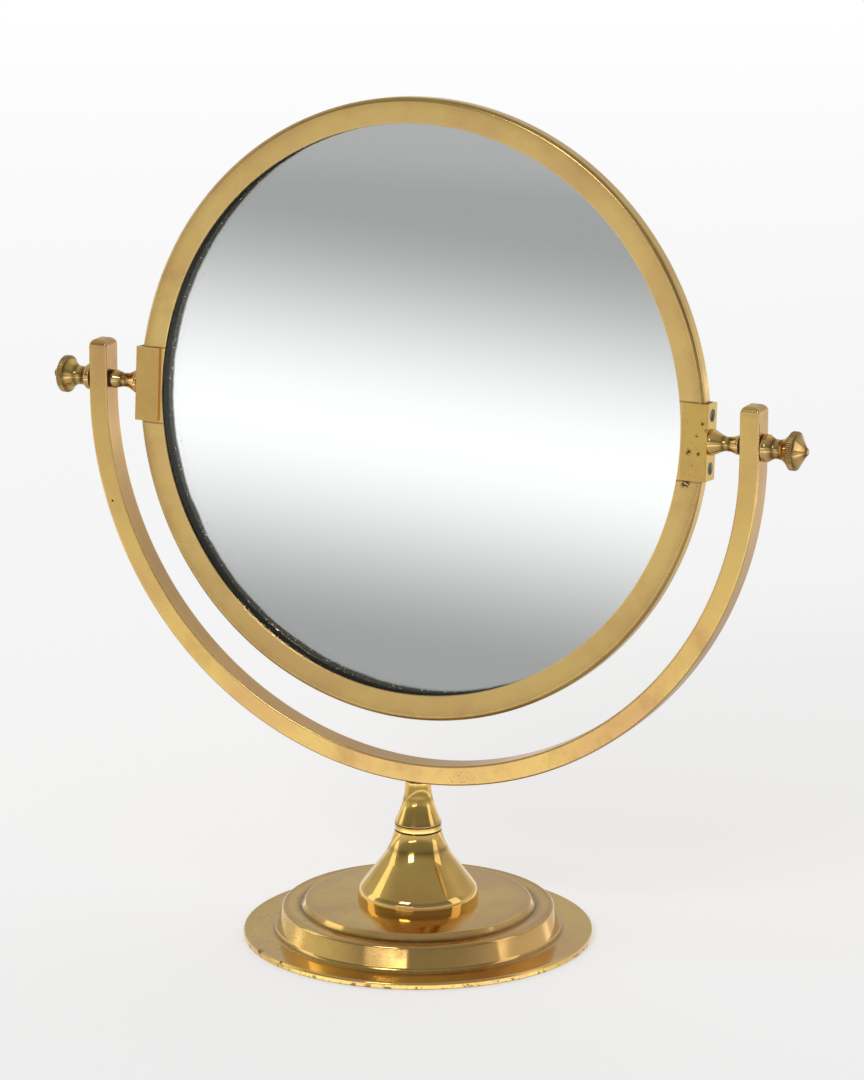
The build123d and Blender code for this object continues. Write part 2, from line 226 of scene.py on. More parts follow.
def finish_mesh(name: str, mesh: bpy.types.Mesh, flip: bool = False) -> bpy.types.Object:
    """Object for a mesh, without loose vertices and shaded smooth.

    Args:
        name: Name of the object.
        mesh: The mesh to clean.
        flip: Turns every face over.

    Returns:
        The object, linked to the scene.
    """
    edit = bmesh.new()
    edit.from_mesh(mesh)
    bmesh.ops.delete(edit, geom=[v for v in edit.verts if not v.link_faces], context="VERTS")
    if flip:
        bmesh.ops.reverse_faces(edit, faces=edit.faces)
    edit.to_mesh(mesh)
    edit.free()
    mesh.shade_smooth()
    return linked(name, mesh)


def settle(item: bpy.types.Object, body: str, slot: str, finish: bpy.types.Material, *nodes: str) -> None:
    """Let a piece ride on its body, stand for its nodes and take its finish.

    Args:
        item: The piece.
        body: Body that it moves with.
        slot: Material slot of the record; not used.
        finish: Its material.
        nodes: Nodes that it stands for.
    """
    item.data.materials.clear()
    item.data.materials.append(finish)
    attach(item, body)
    if nodes:
        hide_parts(*nodes)
    LOG.info("%s: %d faces on %s", item.name, len(item.data.polygons), body)


def dress_node(node: str, finish: bpy.types.Material) -> None:
    """Give a node that stays its finish."""
    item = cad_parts[node]
    item.data.materials.clear()
    item.data.materials.append(finish)
    LOG.info("%s: dressed", node)


def merged_skin(node: str, name: str, sharp_degrees: float = 50.0) -> bpy.types.Object:
    """Copy of a node's mesh with its triangles joined, for smooth bends and flat sides.

    Args:
        node: The node to copy.
        name: Name of the copy.
        sharp_degrees: Edges that bend by more than this stay sharp.

    Returns:
        The copy, with weighted normals.
    """
    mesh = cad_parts[node].data.copy()
    edit = bmesh.new()
    edit.from_mesh(mesh)
    bmesh.ops.remove_doubles(edit, verts=edit.verts, dist=1e-6)
    bmesh.ops.dissolve_limit(edit, angle_limit=math.radians(0.5), verts=edit.verts, edges=edit.edges)
    edit.to_mesh(mesh)
    edit.free()
    mesh.shade_smooth()
    mesh.set_sharp_from_angle(angle=math.radians(sharp_degrees))
    item = linked(name, mesh)
    weighting = item.modifiers.new("flat sides", "WEIGHTED_NORMAL")
    weighting.keep_sharp = True
    return item


class Wire:
    """A shader value that takes part in ordinary arithmetic."""

    def __init__(self, graph: "Graph", socket: bpy.types.NodeSocket) -> None:
        """Wrap a socket of a graph."""
        self.graph = graph
        self.socket = socket

    def __add__(self, other: "Wire | float") -> "Wire":
        """Sum."""
        return self.graph.math("ADD", self, other)

    def __sub__(self, other: "Wire | float") -> "Wire":
        """Difference."""
        return self.graph.math("SUBTRACT", self, other)

    def __rsub__(self, other: float) -> "Wire":
        """Difference from a number."""
        return self.graph.math("SUBTRACT", other, self)

    def __mul__(self, other: "Wire | float") -> "Wire":
        """Product."""
        return self.graph.math("MULTIPLY", self, other)

    def __pow__(self, other: float) -> "Wire":
        """Power."""
        return self.graph.math("POWER", self, other)

    __radd__ = __add__
    __rmul__ = __mul__

    def clamp(self) -> "Wire":
        """Value held between nothing and one."""
        return self.graph.math("ADD", self, 0.0, clamp=True)

    def size(self) -> "Wire":
        """Value without its sign."""
        return self.graph.math("ABSOLUTE", self, 0.0)

    def either(self, other: "Wire | float") -> "Wire":
        """The larger of two values."""
        return self.graph.math("MAXIMUM", self, other)


class Graph:
    """Node tree of a material or world, with one method for every kind of node."""

    def __init__(self, tree: bpy.types.NodeTree) -> None:
        """Start from an empty tree."""
        self.tree = tree
        tree.nodes.clear()

    def node(self, kind: str, settings: dict[str, object], inputs: dict[str | int, object]) -> bpy.types.Node:
        """Add a node.

        Args:
            kind: Node type.
            settings: Attributes of the node, set first. "stops" fills a colour ramp.
            inputs: Socket name or number to a value or a Wire.

        Returns:
            The node.
        """
        made = self.tree.nodes.new(kind)
        for key, value in settings.items():
            if key == "stops":
                ramp = made.color_ramp
                ramp.interpolation = "EASE"
                while len(ramp.elements) < len(value):
                    ramp.elements.new(0.5)
                for element, (place, colour) in zip(ramp.elements, value):
                    element.position = place
                    element.color = colour
            else:
                setattr(made, key, value)
        for key, value in inputs.items():
            if isinstance(value, Wire):
                self.tree.links.new(value.socket, made.inputs[key])
            else:
                made.inputs[key].default_value = value
        return made

    def out(self, kind: str, settings: dict[str, object], inputs: dict[str | int, object],
            output: str | int = 0) -> Wire:
        """One output of a new node."""
        return Wire(self, self.node(kind, settings, inputs).outputs[output])

    def math(self, operation: str, first: "Wire | float", second: "Wire | float",
             clamp: bool = False) -> Wire:
        """Math node on two values."""
        return self.out("ShaderNodeMath", {"operation": operation, "use_clamp": clamp}, {0: first, 1: second})

    def place(self) -> Wire:
        """Object coordinates in metres."""
        return self.out("ShaderNodeTexCoord", {}, {}, "Object")

    def seen(self) -> Wire:
        """One for rays that come straight from the camera."""
        return self.out("ShaderNodeLightPath", {}, {}, "Is Camera Ray")

    def vectors(self, operation: str, first: Wire, second: "Wire | Point", output: str = "Vector") -> Wire:
        """Vector Math node on two vectors."""
        return self.out("ShaderNodeVectorMath", {"operation": operation}, {0: first, 1: second}, output)

    def distance(self, place: Wire, centre_mm: Point) -> Wire:
        """Distance in metres from a point of the object."""
        return self.vectors("DISTANCE", place, tuple(c * MM for c in centre_mm), "Value")

    def part(self, vector: Wire, axis: str) -> Wire:
        """One part of a vector."""
        return self.out("ShaderNodeSeparateXYZ", {}, {"Vector": vector}, axis)

    def value_of(self, attribute: str) -> Wire:
        """Value of a mesh attribute."""
        return self.out("ShaderNodeAttribute", {"attribute_name": attribute}, {}, "Fac")

    def noise(self, vector: Wire, scale: float, detail: float = 3.0, roughness: float = 0.5) -> Wire:
        """Noise about one half."""
        return self.out("ShaderNodeTexNoise", {},
                        {"Vector": vector, "Scale": scale, "Detail": detail, "Roughness": roughness})

    def streaks(self, place: Wire, along: Wire, axis: str, rate: float, drift: float, detail: float) -> Wire:
        """Noise that changes fast with one value and slowly with place."""
        slow = self.vectors("MULTIPLY", place, (drift, drift, drift))
        fast = self.out("ShaderNodeCombineXYZ", {}, {axis: along * rate})
        return self.noise(self.vectors("ADD", slow, fast), 1.0, detail)

    def band(self, value: Wire, low: float, high: float) -> Wire:
        """Smooth rise from nothing at low to one at high."""
        return self.out("ShaderNodeMapRange", {"interpolation_type": "SMOOTHSTEP"},
                        {"Value": value, "From Min": low, "From Max": high})

    def spot(self, place: Wire, centre_mm: Point, radius_mm: float) -> Wire:
        """One at a point of the object, falling to nothing at a radius round it."""
        return self.band(self.distance(place, centre_mm), radius_mm * MM, radius_mm * MM * 0.35)

    def blend(self, factor: "Wire | float", first: object, second: object) -> Wire:
        """Colour between two colours."""
        node = self.node("ShaderNodeMix", {"data_type": "RGBA"}, {0: factor})
        for number, colour in ((6, first), (7, second)):
            if isinstance(colour, Wire):
                self.tree.links.new(colour.socket, node.inputs[number])
            else:
                node.inputs[number].default_value = (*colour, 1.0)
        return Wire(self, node.outputs[2])

    def bump(self, height: Wire, distance_mm: float) -> Wire:
        """Normal from a height of nothing to one over a distance."""
        return self.out("ShaderNodeBump", {}, {"Height": height, "Distance": distance_mm * MM})

    def surface(self, inputs: dict[str, object]) -> None:
        """Principled shader that ends the material."""
        shader = self.out("ShaderNodeBsdfPrincipled", {}, inputs)
        self.node("ShaderNodeOutputMaterial", {}, {"Surface": shader})


def grey(level: float) -> tuple[float, float, float, float]:
    """Opaque grey of a level."""
    return (level, level, level, 1.0)


def new_material(name: str) -> tuple[bpy.types.Material, Graph]:
    """Material with an empty graph."""
    material = bpy.data.materials.new(name)
    material.use_nodes = True
    return material, Graph(material.node_tree)


@dataclass(frozen=True)
class Blemish:
    """One dark mark on the brass, at its own place on the object."""

    centre: Point
    radius: float


@dataclass(frozen=True)
class AgedBrass:
    """Polished brass with rubbed tint, fine turning lines, darker hollows and pits, with a painted side
    reflection, edge highlight and clip shadow line.

    Depths, places and reaches are in millimetres. Noise scales are cells to a metre.
    """

    name: str
    bright: Colour = (0.82, 0.56, 0.18)
    pink: Colour = (0.72, 0.44, 0.17)
    # Painted reflection: a pinker colour for the sides of a bar.
    cheek: Colour = (0.60, 0.36, 0.20)
    # Lighter colour of outer edges: partly rubbed wear, partly a painted highlight.
    rubbed_and_highlight: Colour = (0.92, 0.68, 0.32)
    smudged: Colour = (0.50, 0.28, 0.09)
    # Dark colour of pits and grime, also used for painted shade.
    grime_and_shade: Colour = (0.10, 0.045, 0.012)
    roughness: float = 0.13
    bump_depth: float = 0.05
    line_depth: float = 0.0022
    peel_depth: float = 0.0012
    pit_depth: float = 0.03
    line_rate: float = 2600.0
    tint_scale: float = 22.0
    smudge_scale: float = 55.0
    peel_scale: float = 260.0
    pit_scale: float = 1100.0
    pits: float = 0.5
    pit_place: Point = (0.0, 0.0, 0.0)
    pit_reach: float = 0.0
    low_grime: float = 0.0
    # Height from the pivot of a painted shadow line, partly dirt, along the clip ends.
    clip_shadow_line: float = 0.0
    blemishes: tuple[Blemish, ...] = ()

    def pitting(self, g: Graph, place: Wire) -> Wire:
        """Pits, the peaks of a fine noise thinned out by a coarse one, and the blemishes."""
        worn = g.band(g.noise(place, 30.0, 2.0), 0.5, 0.68)
        if self.pit_reach > 0:
            worn = worn * 0.35 + g.spot(place, self.pit_place, self.pit_reach) * 0.9
        pit = (g.band(g.noise(place, self.pit_scale, 1.0), 0.66, 0.72) * worn * self.pits).clamp()
        ragged = g.band(g.noise(place, 900.0, 3.0), 0.40, 0.55)
        for blemish in self.blemishes:
            pit = pit.either(g.spot(place, blemish.centre, blemish.radius) * ragged)
        return pit

    def dirt_and_shade(self, g: Graph, place: Wire) -> Wire:
        """Darkening in the creases, grime in patches low on a rim, and a painted shadow line, partly dirt,
        along the ends of the clips.
        """
        ragged = 0.55 + 0.75 * g.noise(place, 300.0, 4.0, 0.7)
        # Darker in the hollow corners, with ragged edges.
        dirt_and_shade = ((g.value_of("crease") ** 1.6) * ragged * 0.8).clamp()
        if self.low_grime > 0:
            low = g.band(g.part(place, "Z"), self.low_grime * MM, self.low_grime * 0.4 * MM)
            dirt_and_shade = dirt_and_shade.either(low * g.band(g.noise(place, 260.0, 5.0, 0.75), 0.51, 0.62) * 0.75)
        # Painted shadow, partly dirt: a dark line on the ring along the ends of the clips.
        if self.clip_shadow_line > 0:
            level = (g.part(place, "Z") - PIVOT * MM).size()
            line = g.band((level - self.clip_shadow_line * MM).size(), 0.7 * MM, 0.2 * MM)
            beside = g.band(g.part(place, "X").size(), 137.5 * MM, 139.0 * MM)
            dirt_and_shade = dirt_and_shade.either(line * beside * ragged * 0.6)
        return dirt_and_shade

    def material(self) -> bpy.types.Material:
        """Build the material.

        Tint drifts between two brasses with a large noise. The sides of a bar carry a painted pinker
        reflection, and its edges are lighter, partly rubbed wear and partly a painted highlight. Hollows are
        darker, and a painted shadow line, partly dirt, runs along the ends of the clips. Lines run fast
        across the profile and slowly round it.

        Returns:
            The material.
        """
        material, g = new_material(self.name)
        place = g.place()
        tint = g.band(g.noise(place, self.tint_scale, 4.0, 0.6), 0.38, 0.66)
        lines = g.streaks(place, g.value_of("run"), "Z", self.line_rate, 9.0, 2.0)
        peel = g.noise(place, self.peel_scale, 2.0)
        smudge = g.band(g.noise(place, self.smudge_scale, 5.0, 0.65), 0.48, 0.72)
        pit = self.pitting(g, place)
        dirt_and_shade = self.dirt_and_shade(g, place)
        cheek = g.value_of("cheek")
        colour = g.blend(tint, self.bright, self.pink)
        # Painted reflection: the sides of a bar are blended towards a pinker colour.
        colour = g.blend(cheek * 0.6, colour, self.cheek)
        # Outer edges lighter: partly rubbed wear, partly a painted highlight.
        colour = g.blend(g.value_of("edge") * 0.35, colour, self.rubbed_and_highlight)
        colour = g.blend(smudge * 0.22, colour, self.smudged)
        # Darker in the hollows, grime low on a rim, and the painted shadow line by the clips.
        colour = g.blend(dirt_and_shade, colour, self.grime_and_shade)
        colour = g.blend(pit, colour, self.grime_and_shade)
        rough = self.roughness + 0.05 * smudge + 0.035 * lines + 0.25 * pit + 0.2 * dirt_and_shade + 0.05 * cheek
        height = lines * self.line_depth + peel * self.peel_depth - pit * self.pit_depth
        g.surface({
            "Base Color": colour,
            "Metallic": 1.0,
            "Roughness": rough,
            "Normal": g.bump(height * (1 / self.bump_depth), self.bump_depth),
        })
        return material


@dataclass(frozen=True)
class PlainMetal:
    """Turned, cast or tarnished metal of one colour with a mottled face."""

    name: str
    colour: Colour
    dull: Colour
    roughness: float
    grain: float = 400.0
    depth: float = 0.02
    metallic: float = 1.0

    def material(self) -> bpy.types.Material:
        """Build the material from two tints, a mottled roughness and a fine bump."""
        material, g = new_material(self.name)
        place = g.place()
        mottle = g.band(g.noise(place, self.grain * 0.25, 4.0, 0.6), 0.35, 0.7)
        fine = g.noise(place, self.grain * 3, 3.0)
        g.surface({
            "Base Color": g.blend(mottle, self.colour, self.dull),
            "Metallic": self.metallic,
            "Roughness": self.roughness + 0.15 * mottle,
            "Normal": g.bump(fine, self.depth),
        })
        return material


@dataclass(frozen=True)
class SpunSheet:
    """Satin sheet brass of the back, rubbed in circles round its middle."""

    name: str = "satin sheet brass"
    centre: Point = (0.0, 0.0, PIVOT)
    line_rate: float = 2200.0

    def material(self) -> bpy.types.Material:
        """Build the material, whose lines are noise of the distance from the middle."""
        material, g = new_material(self.name)
        place = g.place()
        lines = g.streaks(place, g.distance(place, self.centre), "Y", self.line_rate, 6.0, 3.0)
        tint = g.band(g.noise(place, 9.0, 5.0, 0.6), 0.35, 0.7)
        stain = g.band(g.noise(place, 26.0, 6.0, 0.7), 0.55, 0.75)
        colour = g.blend(tint, (0.70, 0.47, 0.17), (0.60, 0.37, 0.13))
        g.surface({
            "Base Color": g.blend(stain * 0.5, colour, (0.34, 0.18, 0.06)),
            "Metallic": 1.0,
            "Roughness": 0.26 + 0.1 * lines + 0.12 * stain,
            "Normal": g.bump(lines, 0.006),
        })
        return material


@dataclass(frozen=True)
class PlateGlass:
    """Clear plate glass with a faint green cast."""

    name: str = "plate glass"

    def material(self) -> bpy.types.Material:
        """Build the material from full transmission and a faint smear in its polish."""
        material, g = new_material(self.name)
        smear = g.band(g.noise(g.place(), 14.0, 3.0), 0.45, 0.8)
        g.surface({
            "Base Color": (0.985, 1.0, 0.992, 1.0),
            "Roughness": 0.006 * smear,
            "IOR": 1.52,
            "Transmission Weight": 1.0,
        })
        return material


@dataclass(frozen=True)
class Silvering:
    """Silver behind the glass, with specks where damp has reached its edge."""

    name: str = "silvering"
    centre: Point = (0.0, 0.0, PIVOT)
    damp_side: Point = (-0.90, 0.0, -0.43)
    edge_radius: float = 139.7
    border: float = 5.0
    border_fade: float = 1.6
    wander: float = 1.6
    speck_reach: float = 12.0

    def material(self) -> bpy.types.Material:
        """Build the material, whose dark border and specks widen towards the left and the lower left."""
        material, g = new_material(self.name)
        place = g.place()
        away = g.distance(place, self.centre)
        offset = g.vectors("SUBTRACT", place, tuple(c * MM for c in self.centre))
        towards = g.vectors("DOT_PRODUCT", offset, self.damp_side, "Value")
        edge = self.edge_radius * MM
        reach = g.band(towards, -0.25 * edge, 0.75 * edge)
        wander = (g.noise(place, 70.0, 3.0) - 0.5) * (self.wander * MM)
        rim = g.band(away + reach * (self.border * MM) + wander, edge, edge + self.border_fade * MM)
        near = g.band(away + reach * (self.speck_reach * MM), edge - 2.0 * MM, edge + 8.0 * MM)
        speck = g.band(g.noise(place, 1100.0, 2.0), 0.69, 0.74) * near
        flake = g.band(g.noise(place, 900.0, 2.0), 0.62, 0.70) * 0.7
        lost = (rim - rim * flake + speck).clamp()
        g.surface({
            "Base Color": g.blend(lost, (0.97, 0.97, 0.97), (0.055, 0.058, 0.030)),
            "Metallic": 1.0,
            "Roughness": 0.004 + 0.35 * lost,
        })
        return material


@dataclass(frozen=True)
class NappedCloth:
    """Short felt or card with fibres."""

    name: str
    colour: Colour
    deep: Colour
    roughness: float = 0.95

    def material(self) -> bpy.types.Material:
        """Build the material from fibre noise in colour and height."""
        material, g = new_material(self.name)
        place = g.place()
        fibre = g.noise(place, 1800.0, 4.0, 0.7)
        cloud = g.noise(place, 90.0, 3.0)
        g.surface({
            "Base Color": g.blend((fibre * 0.6 + cloud * 0.5).clamp(), self.deep, self.colour),
            "Roughness": self.roughness,
            "Normal": g.bump(fibre, 0.25),
        })
        return material


@dataclass(frozen=True)
class Finishes:
    """All materials, each made once."""

    foot: bpy.types.Material
    bell: bpy.types.Material
    yoke: bpy.types.Material
    ring: bpy.types.Material
    clip: bpy.types.Material
    turned: bpy.types.Material
    sheet: bpy.types.Material
    glass: bpy.types.Material
    silvering: bpy.types.Material
    steel: bpy.types.Material
    dark_steel: bpy.types.Material
    iron: bpy.types.Material
    fibre: bpy.types.Material
    felt: bpy.types.Material
    card: bpy.types.Material

    @classmethod
    def make(cls) -> "Finishes":
        """Make every finish."""
        looks = dict(
            foot=AgedBrass(
                "foot brass", bright=(0.82, 0.55, 0.16), pink=(0.74, 0.45, 0.16), roughness=0.075, pits=1.0,
                low_grime=2.8, pit_place=(-62.0, -40.0, 3.0), pit_reach=62.0,
                blemishes=(Blemish((-53.0, -68.5, 3.4), 2.6), Blemish((-70.0, -51.0, 3.3), 1.3),
                           Blemish((-20.0, -85.5, 3.3), 1.6), Blemish((-36.0, -79.0, 3.3), 1.5)),
            ),
            bell=AgedBrass(
                "bell brass", bright=(0.82, 0.55, 0.15), pink=(0.74, 0.45, 0.15), roughness=0.05, pits=0.35,
            ),
            yoke=AgedBrass(
                "yoke brass", roughness=0.19, peel_depth=0.0006, pits=0.25,
                blemishes=(Blemish((2.0, -5.9, 90.6), 0.9), Blemish((-168.0, -5.9, 205.0), 1.0)),
            ),
            ring=AgedBrass(
                "ring brass", bright=(0.90, 0.63, 0.22), pink=(0.82, 0.53, 0.20), roughness=0.18, pits=0.3,
                # The ring carries a painted shadow line along the clip ends.
                clip_shadow_line=18.9, blemishes=(Blemish((143.6, -5.6, 246.0), 3.6),),
            ),
            clip=AgedBrass(
                "clip brass", bright=(0.80, 0.53, 0.145), roughness=0.21, pits=0.5,
                pit_place=(147.0, -6.0, 264.0), pit_reach=26.0,
                blemishes=(Blemish((151.5, -5.4, 276.2), 1.6), Blemish((148.6, -5.8, 270.3), 1.4),
                           Blemish((144.6, -6.3, 262.0), 2.2), Blemish((150.0, -6.3, 261.5), 1.4),
                           Blemish((153.4, -5.6, 272.8), 1.2), Blemish((146.5, -6.6, 256.0), 1.0)),
            ),
            turned=AgedBrass("knob brass", roughness=0.065, pits=0.5,
                             blemishes=(Blemish((201.5, -2.0, 265.0), 1.2),)),
            sheet=SpunSheet(),
            glass=PlateGlass(),
            silvering=Silvering(),
            steel=PlainMetal("bright steel", (0.56, 0.56, 0.56), (0.34, 0.32, 0.30), 0.25),
            dark_steel=PlainMetal("tarnished steel", (0.30, 0.30, 0.24), (0.10, 0.09, 0.06), 0.38),
            iron=PlainMetal("cast iron", (0.10, 0.10, 0.105), (0.045, 0.04, 0.04), 0.55, 300.0, 0.15, 0.6),
            fibre=PlainMetal(
                "dark fibre", (0.022, 0.016, 0.013), (0.05, 0.035, 0.025), 0.5, 500.0, 0.03, 0.0,
            ),
            felt=NappedCloth("green felt", (0.045, 0.12, 0.065), (0.015, 0.045, 0.022)),
            card=NappedCloth("packing card", (0.42, 0.33, 0.22), (0.28, 0.21, 0.13), 0.9),
        )
        return cls(**{part: look.material() for part, look in looks.items()})


@dataclass
class Lathe:
    """A turned piece: a rounded profile carried once round an axis."""

    name: str
    corners: list[Corner]
    turning: Turning
    origin: Point = (0.0, 0.0, 0.0)
    closed: bool = False
    segments: int = 192
    lean: float = 0.0
    steps: int = 7
    radius_change: np.ndarray | None = None

    @classmethod
    def on_pivot(cls, name: str, corners: list[Corner], side: Side, face: float, **rest: object) -> "Lathe":
        """Piece about the tilt axis, outwards from a face on one side."""
        turning = Turning.PIVOT_RIGHT if side is Side.RIGHT else Turning.PIVOT_LEFT
        return cls(name, corners, turning, (side.value * face, 0, PIVOT), **rest)

    def points(self, profile: Profile) -> np.ndarray:
        """Place the profile round the axis.

        A point at radius r and height h stands at (r cos a, r sin a, h) round the upright axis, and the other
        axes swap these parts. The mirror's axis leans back with the mirror.

        Args:
            profile: The rounded profile.

        Returns:
            Points in metres, shape (segments, n, 3).
        """
        angle = np.linspace(0, 2 * np.pi, self.segments, endpoint=False)[:, None]
        radius = profile.points[None, :, 0] * np.ones_like(angle)
        if self.radius_change is not None:
            radius = radius - self.radius_change
        height = profile.points[None, :, 1] * np.ones_like(angle)
        across, along = radius * np.cos(angle), radius * np.sin(angle)
        if self.turning is Turning.UPRIGHT:
            grid = np.stack([across, along, height], -1)
        elif self.turning is Turning.MIRROR:
            grid = np.stack([along, height, across], -1)
        elif self.turning is Turning.PIVOT_RIGHT:
            grid = np.stack([height, across, along], -1)
        else:
            grid = np.stack([-height, along, across], -1)
        cos_lean, sin_lean = math.cos(self.lean), math.sin(self.lean)
        leaned = np.stack([
            grid[..., 0],
            grid[..., 1] * cos_lean + grid[..., 2] * sin_lean,
            grid[..., 2] * cos_lean - grid[..., 1] * sin_lean,
        ], -1)
        return (leaned + np.array(self.origin)) * MM

    def build(self) -> bpy.types.Object:
        """Make the object, with run, crease and edge values along its profile."""
        profile = rounded_profile(self.corners, self.closed, self.steps)
        values = profile.values(self.segments)
        if self.radius_change is not None:
            groove = self.radius_change / max(self.radius_change.max(), SAME_PLACE)
            values["crease"] = np.maximum(values["crease"], 0.8 * groove)
        return grid_object(self.name, self.points(profile), values, True, self.closed)


@dataclass
class Base:
    """Foot with its tiers, bell, weight, felt and swivel washer."""

    foot_radius: float = 87.0
    rim_bottom: float = 0.3
    rim_top: float = 3.5
    flange_top: float = 3.0
    wall: float = 1.4
    lower_foot: float = 71.0
    lower_top: float = 67.4
    lower_height: float = 15.4
    upper_foot: float = 58.4
    upper_top: float = 56.0
    shoulder: float = 14.9
    upper_height: float = 18.1
    top: float = 18.8
    felt: float = 1.6
    rim_inset: float = 2.4
    bell_foot: float = 30.2
    bell_edge: float = 4.7
    bell_neck: float = 13.7
    bell_shoulder: float = 8.9
    bell_cap: float = 11.8
    bell_top: float = 53.9

    def foot(self) -> bpy.types.Object:
        """Spun shell with its rim, two tiers and domed top."""
        inner_top = self.upper_height - self.wall
        corners = [
            (0, inner_top, 0),
            (self.upper_top - self.wall, inner_top, 0.3),
            (self.upper_foot - self.wall, self.shoulder - self.wall, 0.3),
            (self.lower_top - self.wall, self.lower_height - self.wall, 0.3),
            (self.lower_foot - self.wall, self.felt, 0.3),
            (self.foot_radius - self.rim_inset, self.felt, 0.2),
            (self.foot_radius - self.rim_inset, self.rim_bottom, 0.2),
            (self.foot_radius, self.rim_bottom, 0.3),
            (self.foot_radius, self.rim_top, 1.0),
            (self.lower_foot, self.flange_top, 2.8),
            (self.lower_top, self.lower_height, 1.6),
            (self.upper_foot, self.shoulder, 1.2),
            (self.upper_top, self.upper_height, 1.2),
            (self.bell_foot + self.wall, self.top, 0.4),
            (0, self.top, 0),
        ]
        return Lathe("foot_shell", corners, Turning.UPRIGHT, segments=360).build()

    def bell(self) -> bpy.types.Object:
        """Bell from its foot on the top disc to its small upper face."""
        corners = [
            (0, self.top, 0),
            (self.bell_foot, self.top, 0),
            (self.bell_foot, self.top + self.bell_edge, 8.0),
            (self.bell_neck, self.bell_top - self.bell_shoulder, 36.0),
            (self.bell_cap, self.bell_top, 0.15),
            (0, self.bell_top, 0),
        ]
        return Lathe("bell_shell", corners, Turning.UPRIGHT, segments=256, steps=40).build()

    def build(self, finishes: Finishes) -> None:
        """Build and dress the base."""
        settle(self.foot(), "base", "polished_brass", finishes.foot, "foot")
        settle(self.bell(), "base", "polished_brass", finishes.bell, "bell")
        dress_node("iron_weight", finishes.iron)
        dress_node("felt_pad", finishes.felt)
        dress_node("swivel_washer", finishes.fibre)


